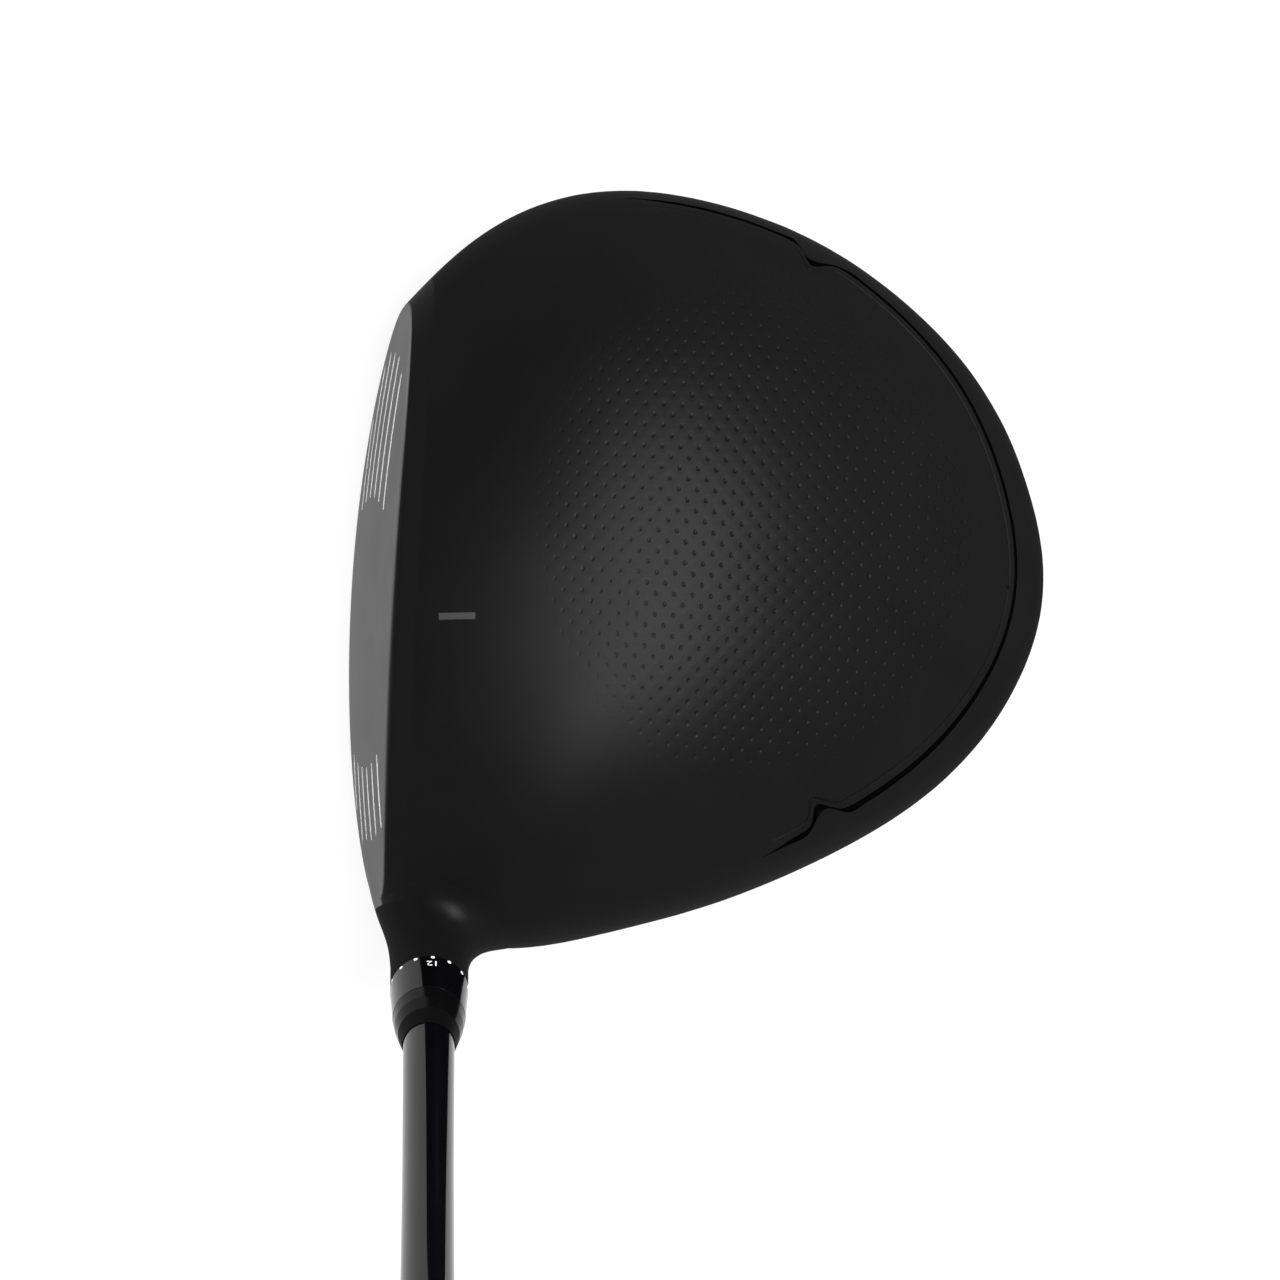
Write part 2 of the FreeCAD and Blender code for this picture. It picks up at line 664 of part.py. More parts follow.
def build_ferrule():
    shoulder = collar_top + FERRULE_LENGTH
    bore = SHAFT_TIP_R + FIT
    middle = (FERRULE_R + FERRULE_NECK_R) / 2 + FERRULE_BULGE
    outer = [(FERRULE_R, collar_top), (middle, collar_top + FERRULE_LENGTH / 2),
             (FERRULE_NECK_R, shoulder), (FERRULE_TIP_R, shoulder + FERRULE_TIP)]
    inner = [(bore, collar_top), (bore, shoulder + FERRULE_TIP)]
    return {"ferrule": turned_wall(outer, inner)}


def build_shaft():
    tip_end = SLEEVE_FOOT + SHAFT_TIP_LENGTH
    butt = shaft_end - SHAFT_BUTT_LENGTH
    tip_bore = SHAFT_TIP_R - SHAFT_TIP_WALL
    butt_bore = SHAFT_BUTT_R - SHAFT_BUTT_WALL
    shaft = turned_wall(
        [(SHAFT_TIP_R, shaft_foot), (SHAFT_TIP_R, tip_end), (SHAFT_BUTT_R, butt),
         (SHAFT_BUTT_R, shaft_end)],
        [(tip_bore, shaft_foot), (tip_bore, tip_end), (butt_bore, butt),
         (butt_bore, shaft_end)])
    plug = drum(tip_bore - PLUG_GAP, shaft_foot + TIP_PLUG / 2,
                shaft_foot + TIP_PLUG * 1.5)
    return {"shaft": shaft, "tip_plug": plug}


def build_grip():
    tape = tube(tape_r, SHAFT_BUTT_R, grip_mouth + TAPE_SHORT, shaft_end)
    cone = [(GRIP_BEAD_R - 0.4, grip_mouth), (GRIP_BEAD_R, grip_mouth + 0.6),
            (GRIP_BEAD_R, grip_mouth + GRIP_BEAD),
            (GRIP_MOUTH_R, grip_mouth + 2 * GRIP_BEAD)]
    steps = 6
    start = grip_mouth + 2 * GRIP_BEAD
    for i in range(1, steps + 1):
        part = i / steps
        swell = GRIP_SWELL * 4 * part * (1 - part)
        cone.append((GRIP_MOUTH_R + (GRIP_TOP_R - GRIP_MOUTH_R) * part - swell,
                     start + (cap_low - start) * part))
    bore = [(SHAFT_BUTT_R, grip_mouth), (SHAFT_BUTT_R, grip_mouth + TAPE_SHORT),
            (tape_r, grip_mouth + TAPE_SHORT), (tape_r, cap_low)]
    sleeve = turned_wall(cone, bore)

    rise = CAP_LENGTH - CAP_WALL
    cap = [(tape_r, cap_low), (GRIP_TOP_R, cap_low)]
    for i in range(1, 7):
        part = i / 6
        ease = part * part * (3 - 2 * part)
        cap.append((GRIP_TOP_R + (CAP_R - GRIP_TOP_R) * ease, cap_low + rise * part))
    for i in range(1, 6):
        turn = math.radians(18 * i)
        cap.append((CAP_R - CAP_ROUND * (1 - math.cos(turn)),
                    club_end - CAP_WALL + CAP_ROUND * math.sin(turn)))
    cap += [(0, club_end), (0, shaft_end), (tape_r, shaft_end)]
    cap = turned(cap).cut(drum(VENT_R, shaft_end, club_end + 1))
    return {"grip_tape": tape, "grip_sleeve": sleeve, "grip_cap": cap}


# ---------------------------------------------------------------- output

pieces = {}
for build in (build_head, build_weight, build_sleeve, build_screw, build_ferrule,
              build_shaft, build_grip):
    pieces.update(build())

os.makedirs("parts", exist_ok=True)
for name, shape in pieces.items():
    solids = shape.Solids
    shape = solids[0] if len(solids) == 1 else Part.makeCompound(solids)
    shape.exportStep("parts/" + name + ".step")
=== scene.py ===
import math

import bpy
import numpy as np
from mathutils import Matrix, Vector
from mathutils.geometry import delaunay_2d_cdt


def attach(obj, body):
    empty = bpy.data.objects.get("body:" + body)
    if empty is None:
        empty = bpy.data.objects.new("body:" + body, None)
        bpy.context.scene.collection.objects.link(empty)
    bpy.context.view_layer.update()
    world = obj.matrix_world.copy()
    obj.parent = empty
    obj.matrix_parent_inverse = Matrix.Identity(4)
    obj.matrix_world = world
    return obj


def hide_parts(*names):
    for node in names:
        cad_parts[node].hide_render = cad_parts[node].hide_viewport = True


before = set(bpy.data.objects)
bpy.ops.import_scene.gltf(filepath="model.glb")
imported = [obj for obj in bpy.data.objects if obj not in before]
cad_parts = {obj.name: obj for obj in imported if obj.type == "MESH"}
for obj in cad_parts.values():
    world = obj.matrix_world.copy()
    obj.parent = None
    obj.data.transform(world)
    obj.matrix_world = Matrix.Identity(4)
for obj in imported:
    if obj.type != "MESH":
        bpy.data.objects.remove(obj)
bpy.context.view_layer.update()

# Looks of the golf driver. Shapes are in millimetres, and `scaled` makes them metres.
# Materials, camera, lamp and floor are in metres. Plan angles run from straight back, +X,
# by the toe, +Y. Stations are counted up the hosel axis from the screw port's mouth.
MM = 0.001

# ---- Forms that the solids share
LIE = math.radians(58.5)
CLUB_LENGTH = 1156.0            # ground to the end of the grip along the axis
GROUND = -9.0
HEAD_X, HEAD_Y = 35.0, 44.5     # plan centre of the head
OUTLINE = [66.0, 65.8, 65.2, 64.3, 64.1, 64.5, 65.6, 65.5, 62.8, 60.5, 63.0, 71.0,
           78.0, 77.5, 73.0, 68.5, 66.5, 61.0, 55.4, 53.1, 53.1, 55.5, 59.5, 63.5]
                                # plan radii of the head at equal angles
SKIRT_HEIGHT, SKIRT_FALL = 24.0, 0.04           # widest line, and its fall to the back
CROWN_HEIGHT, CROWN_TOP_X = 60.0, 26.0
CROWN_RADIUS_X, CROWN_RADIUS_Y = 95.0, 310.0    # camber front to back, and heel to toe
CROWN_POWERS = (3.0, 2.3)       # fullness of the crown's shoulder in plan and in height
SOLE_LOW_X = 22.0
SOLE_RADIUS_X, SOLE_RADIUS_Y = 250.0, 210.0
SOLE_POWERS = (4.2, 2.4)
LEAST_RISE = 2.0                # least height between the skirt and the crown or sole
PANEL_INSET = [4.3, 2.3, 1.9, 2.7, 4.0, 4.0, 3.2, 4.0]
                                # outline to the panel's edge at equal angles
PANEL_DIPS = [(238.0, 14.0, 16.0), (62.0, 2.2, 2.3), (308.0, 2.4, 2.8)]
                                # hosel and two notches: angle, spread, depth
PANEL_FRONT_X = 4.0
PANEL_FRONT_BLEND = 12.0
PANEL_WALL = 0.9
LOFT, FACE_OPEN, FACE_RADIUS = 8.5, 2.2, 300.0
FACE_CENTRE = Vector((-10.9, 39.9, GROUND + 26.0))
COLLAR_R, COLLAR_TOP_R = 6.45, 6.0
COLLAR_LOW, COLLAR_LENGTH = 44.65, 10.0

AXIS = Vector((0, -math.cos(LIE), math.sin(LIE)))
ACROSS = Vector((0, math.sin(LIE), math.cos(LIE)))
SIDE = Vector((1, 0, 0))
FACE_NORMAL = Vector((-1, math.tan(math.radians(FACE_OPEN)),
                      math.tan(math.radians(LOFT)))).normalized()
BALL_CENTRE = FACE_CENTRE - FACE_NORMAL * FACE_RADIUS

# ---- Groove round the back of the crown panel, the painted shade in it, and the fine line beside it
GROOVE_ARC = (13.5, 76.5, 8.0)  # middle, half width and run-out, degrees
GROOVE_WIDTH = 0.45             # 0.1 more than in the solids, as the photograph shows
GROOVE_HEEL = (318.0, 27.0, 0.48)               # extra width: angle, spread, amount
EDGE_ROUND = 0.16               # radius of the panel's edge at the groove
SHADE_STRIP_TOP, SHADE_STRIP_BOTTOM = 0.5, 0.8                # depths of the painted-shade strip below the crown
SHADE_STRIP_LAP = 0.1                  # share of the groove that the painted-shade strip laps under each side
SHADE_STRIP_STEP = 0.4                 # degrees
LINE_INWARD = 1.35              # panel's edge to the fine line
LINE_HEEL = (320.0, 27.0, 0.8)
LINE_DEPTH = 0.42               # where the line is deepest, at the heel
LINE_DEEP = (320.0, 30.0)       # angle and spread of that place
LINE_HALF = 0.22                # half width of the line

# ---- Dents of the crown
DENT_PITCH, DENT_ROW = 3.03, 1.745
DENT_TILT = math.radians(-2.5)  # turn of the lattice in plan
DENT_LEAN = math.radians(-12)   # turn of each dent on the lattice
DENT_HALF = (0.43, 0.58)        # half width and length of a dent's core
DENT_DEPTH = 0.17
DISH_R, DISH_DEPTH = 1.16, 0.026                # shallow dish round each core
DENT_FIELD = (56.0, 54.4, 39.0, 45.6)           # oval field: middle and half sizes
DENT_FADE = (1.03, 0.2)         # share of the field where dents end, and their fade
DENT_FRONT, DENT_GROWTH, DENT_LEAST = 14.0, 40.0, 0.4   # dents grow from the front

# ---- Mesh of the crown shell
SHELL_THINNER = 0.08            # the shell stays this far clear of its ledge
RIM_COUNT = 720                 # points round each ring of the shell's mesh
EDGE_RINGS = (0, 0.015, 0.05, 0.1, EDGE_ROUND)
LINE_RINGS = (-0.3, -LINE_HALF, -LINE_HALF / 2, 0, LINE_HALF / 2, LINE_HALF)
COARSE_RING = 0.8               # a ring of fewer points, this far inside the line
TOP_STEP, UNDER_STEP = 2.4, 7.0                 # point spacing of the plain top and underside
ROW_STEP = 0.866                # rows of a triangular lattice, as a share of its spacing
DENTS_INWARD, TOP_INWARD, UNDER_INWARD = 3.2, 3.6, 4.0  # these points keep off the edge
DENTS_REACH, TOP_START = 1.02, 1.04             # shares of the field with and without dents
CORE_RINGS = ((0.4, 6), (0.7, 8), (1.0, 10))    # share of the core's radius, and points
DISH_RINGS = ((0.65, 9), (0.95, 14), (1.02, 14))

# ---- Score lines of the face
SCORE_COUNT, SCORE_PITCH = 6, 5.0
SCORE_LOW = 13.6                # lowest line above the ground
SCORE_MIDDLE, SCORE_SLANT = 38.3, 0.07          # middle of the blank area, and its slant
SCORE_BLANK = 22.3              # half width of the blank area
SCORE_CURVE = 0.33              # how fast the blank area narrows up and down
SCORE_CURVE_MIDDLE = 0.6        # share of that at the two middle lines
SCORE_TOE, SCORE_HEEL = 84.8, 2.0               # the lines end here,
SCORE_RIM = 3.4                 # or this far from the face's rim
SCORE_STEP = 1.5
SCORE_HALF = 0.38               # half width of a line
SCORE_PROFILE = ((-1, -0.05), (-1, 0.012), (-0.6, 0.03), (0.6, 0.03), (1, 0.012), (1, -0.05))
                                # share of the half width, and lift off the face

# ---- Painted marks, which stand a little above their surface and reach a little below it
PAINT_SINK = -0.04
AIM_FRONT, AIM_LENGTH = 1.6, 6.0
AIM_Y, AIM_WIDTH = 37.7, 1.1
AIM_LIFT = 0.02
DOTS, DOT_START = 14, 84.6      # number of dots, and the angle of the first, degrees
DOT_R, DOT_RISE, DOT_LIFT = 0.34, 0.47, 0.015
NUMBERS = ((0, "12"), (5, "4"), (9, "8"))       # dot and its number
NUMBER_SIZE, NUMBER_RISE = 2.1, 1.7
NUMBER_HALF = 0.03              # half thickness of a number,
NUMBER_LIFT = -0.014            # and its middle below the collar's surface

# ---- Ferrule and grip
FERRULE_POLISHED = 60.4         # the end cone above this station isn't polished
CLUB_END = CLUB_LENGTH + GROUND / math.sin(LIE)
GRIP_MOUTH, GRIP_LOW_CAP = CLUB_END - 267.0, CLUB_END - 13.0
GRIP_START = GRIP_MOUTH + 6.0
GRIP_R, GRIP_TOP_R, GRIP_SWELL, GRIP_BORE_R = 9.0, 13.1, 0.6, 7.62
BEAD_STATIONS = (0, 0.25, 0.6, 3.0, 6.0)        # bead at the mouth,
BEAD_HEIGHTS = (0.3, 0.6, 0.7, 0.7, 0.0)        # and how far it stands out
LATTICE_TURNS, LATTICE_PITCH = 18, 4.2
LATTICE_DEPTH, LATTICE_WIDTH = 0.34, 0.2
LATTICE_STEEPNESS = 1.25        # how fast a groove reaches its flat bottom
LATTICE_FIELDS = [(30.0, 96.0), (108.0, 240.0)]
FIELD_FADE = 1.5
MOUTH_STATIONS = (0.0, 0.25, 0.6, 1.6, 2.4, 3.0, 4.0, 5.0)     # mesh rings of the bead
RING_GROOVES = [12.0, 15.0, 18.0, 100.0, 104.0]
RING_DEPTH, RING_HALF = 0.35, 0.8


# ------------------------------------------------------------------ shader nodes

def fill(made, inputs):
    """Give each input a constant, or link it to another node's output."""
    for key, value in inputs.items():
        if isinstance(value, bpy.types.NodeSocket):
            made.id_data.links.new(value, made.inputs[key])
        else:
            made.inputs[key].default_value = value


def node(tree, kind, inputs=None, **settings):
    made = tree.nodes.new("ShaderNode" + kind)
    for key, value in settings.items():
        setattr(made, key, value)
    fill(made, inputs or {})
    return made


def math_of(tree, operation, *values):
    return node(tree, "Math", dict(enumerate(values)), operation=operation).outputs[0]


def map_range(tree, value, low, high, to_low=0.0, to_high=1.0):
    made = node(tree, "MapRange", {"Value": value, "From Min": low, "From Max": high,
                                   "To Min": to_low, "To Max": to_high})
    return made.outputs["Result"]


def noise(tree, vector, size, detail):
    made = node(tree, "TexNoise", {"Vector": vector, "Scale": 1 / size, "Detail": detail})
    return made.outputs["Fac"]


# ------------------------------------------------------------------ materials

BLACK = (0.0022, 0.0022, 0.0024)
UNDER_BLACK, UNDER_ROUGH = (0.0034, 0.0034, 0.0036), 0.65   # painted rim of the face
GLOSS = 0.062                   # specular level of the head's paint
STEEP_START, STEEP_FULL = 0.93, 0.6     # upward share of the normal where paint roughens
MOTTLE_SIZE = 12 * MM
PAINT_LINE = (-7.6 * MM, 0.012, 0.00058 / MM)   # border of the paint: x = a + b y + c y^2
PAINT_FADE = 0.3 * MM
PAINT_DEPTH, METAL_DEPTH = 0.30, 0.06   # depths of the rim under the face's ball, in mm


def bare_face(tree, place):
    """1 on the face's bare metal; 0 on its rounded rim and behind the paint line."""
    away = node(tree, "VectorMath", {0: place["Object"], 1: BALL_CENTRE * MM},
                operation="DISTANCE").outputs["Value"]
    on_ball = map_range(tree, away, (FACE_RADIUS - PAINT_DEPTH) * MM,
                        (FACE_RADIUS - METAL_DEPTH) * MM)
    parts = node(tree, "SeparateXYZ", {0: place["Object"]}).outputs
    start, slope, curve = PAINT_LINE
    line = math_of(tree, "MULTIPLY_ADD", curve, parts["Y"], slope)
    line = math_of(tree, "MULTIPLY_ADD", line, parts["Y"], start)
    ahead = math_of(tree, "SUBTRACT", line, parts["X"])
    return math_of(tree, "MULTIPLY", on_ball, map_range(tree, ahead, -PAINT_FADE, PAINT_FADE))


def material(name, colour, rough, metallic=0.0, specular=0.5, mottle=0.15, grain=0.06,
             grain_size=0.0004, bump=0.00001, stretch=(1, 1, 1), edge=1.0, steep=None,
             bare=None):
    """Principled surface whose colour, roughness and height vary with two noises.

    mottle and grain are the spreads of colour and roughness, edge is the specular tint,
    and steep is the roughness of upright faces. bare is a function that gives 1 where the
    surface is left unpainted and 0 where it is painted black.
    """
    mat = bpy.data.materials.new(name)
    mat.use_nodes = True
    tree = mat.node_tree
    place = node(tree, "TexCoord").outputs
    stretched = node(tree, "Mapping", {"Vector": place["Object"], "Scale": stretch})
    cloud = noise(tree, place["Object"], MOTTLE_SIZE, detail=4.0)
    fine = noise(tree, stretched.outputs["Vector"], grain_size, detail=3.0)
    mixed = math_of(tree, "MULTIPLY_ADD", cloud, 0.5, math_of(tree, "MULTIPLY", fine, 0.5))
    ramp = node(tree, "ValToRGB", {"Fac": mixed})
    for stop, position, share in ((0, 0.3, 1 - mottle), (1, 0.7, 1 + mottle)):
        ramp.color_ramp.elements[stop].position = position
        ramp.color_ramp.elements[stop].color = [c * share for c in colour] + [1]
    colours = ramp.outputs["Color"]
    roughness = map_range(tree, fine, 0.0, 1.0, rough - grain, rough + grain)
    if steep:
        normal = node(tree, "SeparateXYZ", {0: place["Normal"]}).outputs
        added = map_range(tree, normal["Z"], STEEP_START, STEEP_FULL, 0.0, steep - rough)
        roughness = math_of(tree, "ADD", roughness, added)
    if bare:
        mask = bare(tree, place)
        colours = node(tree, "Mix", {"Factor": mask, 6: (*UNDER_BLACK, 1), 7: colours},
                       data_type="RGBA").outputs[2]
        roughness = node(tree, "Mix", {"Factor": mask, 2: UNDER_ROUGH,
                                       3: roughness}).outputs[0]
        metallic = math_of(tree, "MULTIPLY", mask, metallic)
    relief = node(tree, "Bump", {"Distance": bump, "Height": fine})
    fill(tree.nodes["Principled BSDF"],
         {"Base Color": colours, "Roughness": roughness, "Metallic": metallic,
          "Specular IOR Level": specular, "Specular Tint": (edge, edge, edge, 1),
          "Normal": relief.outputs["Normal"]})
    return mat


head_paint = material("head_paint", BLACK, 0.46, specular=GLOSS, mottle=0.2, bump=0.000002,
                      steep=0.85)
crown_paint = material("crown_paint", BLACK, 0.46, specular=GLOSS, mottle=0.2,
                       bump=0.000002, steep=0.85)
ring_paint = material("ring_paint", BLACK, 0.46, specular=GLOSS, mottle=0.25,
                      bump=0.000003, steep=0.85)
face_metal = material("face_metal", (0.235, 0.235, 0.238), 0.40, metallic=1.0,
                      specular=GLOSS, mottle=0.1, grain=0.1, grain_size=0.0003,
                      bump=0.000005, stretch=(1, 0.03, 1), edge=0.36, bare=bare_face)
weight_metal = material("weight_metal", (0.30, 0.30, 0.31), 0.34, metallic=1.0,
                        mottle=0.08, grain_size=0.0002, bump=0.000004)
screw_metal = material("screw_metal", (0.32, 0.32, 0.34), 0.3, metallic=1.0, mottle=0.1,
                       grain_size=0.0002)
washer_metal = material("washer_metal", (0.4, 0.4, 0.41), 0.35, metallic=1.0, mottle=0.08)
gloss_black = material("gloss_black", (0.0010, 0.0010, 0.0018), 0.07, specular=0.15,
                       mottle=0.2, grain=0.02, bump=0.0000006)
collar_black = material("collar_black", (0.001, 0.001, 0.0014), 0.09, specular=0.14,
                        mottle=0.2, grain=0.03, bump=0.0000008)
ferrule_plastic = material("ferrule_plastic", (0.0015, 0.0015, 0.0017), 0.16,
                           specular=0.07, grain=0.04, bump=0.000001)
ferrule_matt = material("ferrule_matt", (0.002, 0.002, 0.0022), 0.5, specular=0.02,
                        mottle=0.25, bump=0.000004)
grip_rubber = material("grip_rubber", (0.020, 0.020, 0.021), 0.74, specular=0.3,
                       mottle=0.3, grain_size=0.0006, bump=0.00003)
cap_rubber = material("cap_rubber", (0.030, 0.030, 0.031), 0.7, specular=0.3, mottle=0.25,
                      grain_size=0.0006, bump=0.00002)
# painted shade: near-black, matte and without gloss, for the strip at the bottom of the crown's
# groove
painted_shade_black = material("painted_shade_black", (0.0006, 0.0006, 0.0006), 0.9, specular=0.0, mottle=0.3)
gasket_rubber = material("gasket_rubber", (0.02, 0.02, 0.02), 0.8, specular=0.3, mottle=0.2)
nylon = material("nylon", (0.07, 0.07, 0.07), 0.6)
foam = material("foam", (0.55, 0.53, 0.46), 0.8, mottle=0.12)
tape = material("tape", (0.78, 0.77, 0.73), 0.7, mottle=0.08)
white_paint = material("white_paint", (0.78, 0.78, 0.77), 0.5, mottle=0.05)
line_paint = material("line_paint", (0.62, 0.62, 0.61), 0.55, mottle=0.06)
mark_paint = material("mark_paint", (0.026, 0.026, 0.027), 0.46, specular=GLOSS, mottle=0.08)

FINISHES = {
    "head_body": head_paint, "face_cup": face_metal, "rear_ring": ring_paint,
    "crown_panel": crown_paint, "rear_weight": weight_metal,
    "weight_gasket": gasket_rubber, "adapter_sleeve": collar_black,
    "hosel_screw": screw_metal, "screw_washer": washer_metal, "screw_retainer": nylon,
    "ferrule": ferrule_plastic, "shaft": gloss_black, "tip_plug": foam,
    "grip_tape": tape, "grip_sleeve": grip_rubber, "grip_cap": cap_rubber,
}
for solid, finish in FINISHES.items():
    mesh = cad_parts[solid].data
    mesh.materials.clear()
    mesh.materials.append(finish)
    mesh.polygons.foreach_set("use_smooth", [True] * len(mesh.polygons))

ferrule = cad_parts["ferrule"].data
ferrule.materials.append(ferrule_matt)
for polygon in ferrule.polygons:
    if polygon.center.dot(AXIS) / MM > FERRULE_POLISHED:
        polygon.material_index = 1


# ------------------------------------------------------------------ mesh helpers

def scaled(points):
    return [tuple(c * MM for c in p) for p in points]


def piece(name, points, faces, mat, body, smooth=True):
    """Mesh object from points in millimetres, on a CAD body."""
    mesh = bpy.data.meshes.new(name)
    mesh.from_pydata(scaled(points), [], faces)
    mesh.materials.append(mat)
    mesh.polygons.foreach_set("use_smooth", [smooth] * len(mesh.polygons))
    mesh.update()
    made = bpy.data.objects.new(name, mesh)
    bpy.context.scene.collection.objects.link(made)
    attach(made, body)
    return made


def on_axis(station, radius, angle):
    """Point round the hosel axis; the angle runs from +X to the toe side."""
    return (AXIS * station + SIDE * (radius * math.cos(angle))
            + ACROSS * (radius * math.sin(angle)))


def turned(a, b, angle):
    """The plan vector (a, b) turned by an angle."""
    cos, sin = math.cos(angle), math.sin(angle)
    return a * cos - b * sin, b * cos + a * sin


def triangulated(points, edges):
    """Plan triangles over points that keep the edges: the points and the faces."""
    made, _, faces, *_ = delaunay_2d_cdt([Vector(p) for p in points], edges, [], 1, 1e-6)
    return np.array([tuple(p) for p in made]), faces


# ------------------------------------------------------------------ head form

def harmonics(values):
    """Smooth periodic function through values at equal angles."""
    n = len(values)
    spectrum = np.fft.rfft(values) / n
    orders = np.arange(len(spectrum))
    weight = np.where((orders == 0) | (orders == n // 2), 1, 2)

    def value(angle):
        turns = np.multiply.outer(np.asarray(angle), orders)
        return (weight * (spectrum.real * np.cos(turns)
                          - spectrum.imag * np.sin(turns))).sum(-1)
    return value


outline_radius = harmonics(OUTLINE)
panel_inset = harmonics(PANEL_INSET)


def soft_min(a, b, width):
    lap = np.maximum(width - np.abs(a - b), 0) / width
    return np.minimum(a, b) - lap * lap * width / 4


def hump(angle, middle, spread):
    """Smooth hump of height 1 round a plan angle given in degrees."""
    return np.exp(-((np.degrees(angle) % 360 - middle) / spread) ** 2)


def plan_place(x, y):
    """Plan angle and distance from the head's centre."""
    dx, dy = x - HEAD_X, y - HEAD_Y
    return np.arctan2(dy, dx), np.hypot(dx, dy)


def reach_of(x, y):
    """Distance from the head's centre as a share of the outline's radius."""
    angle, distance = plan_place(x, y)
    return distance / outline_radius(angle)


def skirt_height(x):
    return GROUND + SKIRT_HEIGHT - SKIRT_FALL * (x - HEAD_X)


def crown_camber(x, y):
    return (GROUND + CROWN_HEIGHT - (y - HEAD_Y) ** 2 / (2 * CROWN_RADIUS_Y)
            - (x - CROWN_TOP_X) ** 2 / (2 * CROWN_RADIUS_X))


def sole_camber(x, y):
    return (GROUND + (y - HEAD_Y) ** 2 / (2 * SOLE_RADIUS_Y)
            + (x - SOLE_LOW_X) ** 2 / (2 * SOLE_RADIUS_X))


def crown_height(x, y):
    """Height of the plain crown."""
    skirt = skirt_height(x)
    full = np.maximum(1 - reach_of(x, y) ** CROWN_POWERS[0], 0.0)
    return skirt + (np.maximum(crown_camber(x, y) - skirt, LEAST_RISE)
                    * full ** (1 / CROWN_POWERS[1]))


def panel_edge(angle, inward):
    """Plan radius of the panel's seat moved inward."""
    inset = panel_inset(angle) + inward
    for middle, spread, depth in PANEL_DIPS:
        inset = inset + depth * hump(angle, middle, spread)
    radius = outline_radius(angle) - inset
    ahead = -np.cos(angle)
    front = (HEAD_X - PANEL_FRONT_X - inward) / np.maximum(ahead, 0.2)
    return np.where(ahead > 0.2, soft_min(radius, front, PANEL_FRONT_BLEND), radius)


# ------------------------------------------------------------------ groove and fine line

def groove_share(angle):
    """1 where the groove is open, round the back, and 0 where the panel is flush."""
    middle, half, fade = GROOVE_ARC
    away = np.abs((np.degrees(angle) - middle + 180) % 360 - 180)
    return np.clip((half - away) / fade + 0.5, 0, 1)


def gap(angle):
    """Open width of the groove; it is widest at the heel side."""
    middle, spread, extra = GROOVE_HEEL
    return groove_share(angle) * (GROOVE_WIDTH + extra * hump(angle, middle, spread))


def line_inward(angle):
    """Distance of the fine line inside the panel's edge."""
    middle, spread, extra = LINE_HEEL
    return LINE_INWARD + extra * hump(angle, middle, spread)


def line_depth(angle):
    """The line runs along the groove and is deepest at the heel side."""
    return LINE_DEPTH * groove_share(angle) * (0.5 + 0.5 * hump(angle, *LINE_DEEP))


# ------------------------------------------------------------------ dents

def field_share(x, y):
    """Distance from the middle of the dents' field, 1 on its oval edge."""
    middle_x, middle_y, half_x, half_y = DENT_FIELD
    return np.hypot((x - middle_x) / half_x, (y - middle_y) / half_y)


def from_lattice(u, v):
    """Plan point of a place on the dents' lattice."""
    x, y = turned(u, v, DENT_TILT)
    return x + DENT_FIELD[0], y + DENT_FIELD[1]


def dent_at(x, y):
    """Place in the nearest dent's core and in its dish, 1 at their rims, and its strength."""
    u, v = turned(x - DENT_FIELD[0], y - DENT_FIELD[1], -DENT_TILT)
    best = None
    for shift_u, shift_v in ((0, 0), (DENT_PITCH / 2, DENT_ROW)):
        dent_u = np.round((u - shift_u) / DENT_PITCH) * DENT_PITCH + shift_u
        dent_v = np.round((v - shift_v) / (2 * DENT_ROW)) * 2 * DENT_ROW + shift_v
        a, b = turned(u - dent_u, v - dent_v, -DENT_LEAN)
        core = np.hypot(a / DENT_HALF[0], b / DENT_HALF[1])
        dish = np.hypot(u - dent_u, v - dent_v) / DISH_R
        found = (core, dish, *from_lattice(dent_u, dent_v))
        if best is None:
            best = found
        else:
            closer = core < best[0]
            best = [np.where(closer, new, old) for new, old in zip(found, best)]
    core, dish, dent_x, dent_y = best
    end, fade = DENT_FADE
    growth = np.clip((dent_x - DENT_FRONT) / DENT_GROWTH, DENT_LEAST, 1)
    return core, dish, np.clip((end - field_share(dent_x, dent_y)) / fade, 0, 1) * growth


def dent_points():
    """Plan points on the dents' rims, slopes and bottoms."""
    points = []
    reach = int(max(DENT_FIELD[2:]) / DENT_ROW) + 2
    lattice = [((i + (j % 2) / 2) * DENT_PITCH, j * DENT_ROW)
               for j in range(-reach, reach + 1) for i in range(-reach, reach + 1)]
    for place in lattice:
        x, y = from_lattice(*place)
        if field_share(x, y) > DENTS_REACH:
            continue
        points.append((x, y))
        points.append((x + DENT_PITCH / 2, y))
        for share, count in CORE_RINGS:
            for k in range(count):
                turn = 2 * math.pi * (k + share) / count
                du, dv = turned(share * DENT_HALF[0] * math.cos(turn),
                                share * DENT_HALF[1] * math.sin(turn), DENT_LEAN)
                points.append((x + du, y + dv))
        for share, count in DISH_RINGS:
            for k in range(count):
                turn = 2 * math.pi * (k + share) / count
                points.append((x + share * DISH_R * math.cos(turn),
                               y + share * DISH_R * math.sin(turn)))
    return inside_panel(np.array(points), DENTS_INWARD)


# ------------------------------------------------------------------ crown shell

def inside_panel(points, inward):
    """Those of the plan points that lie inside the panel's edge moved inward."""
    angle, distance = plan_place(points[:, 0], points[:, 1])
    return points[distance < panel_edge(angle, inward)]


def ring_points(angles, inward):
    radius = panel_edge(angles, inward)
    return np.stack([HEAD_X + radius * np.cos(angles), HEAD_Y + radius * np.sin(angles)], 1)


def plain_points(step, inward):
    """Triangular lattice of points inside the panel's edge."""
    xs = np.arange(-10, 110, step)
    ys = np.arange(-30, 120, step * ROW_STEP)
    grid = [(x + (j % 2) * step / 2, y) for j, y in enumerate(ys) for x in xs]
    return inside_panel(np.array(grid), inward)


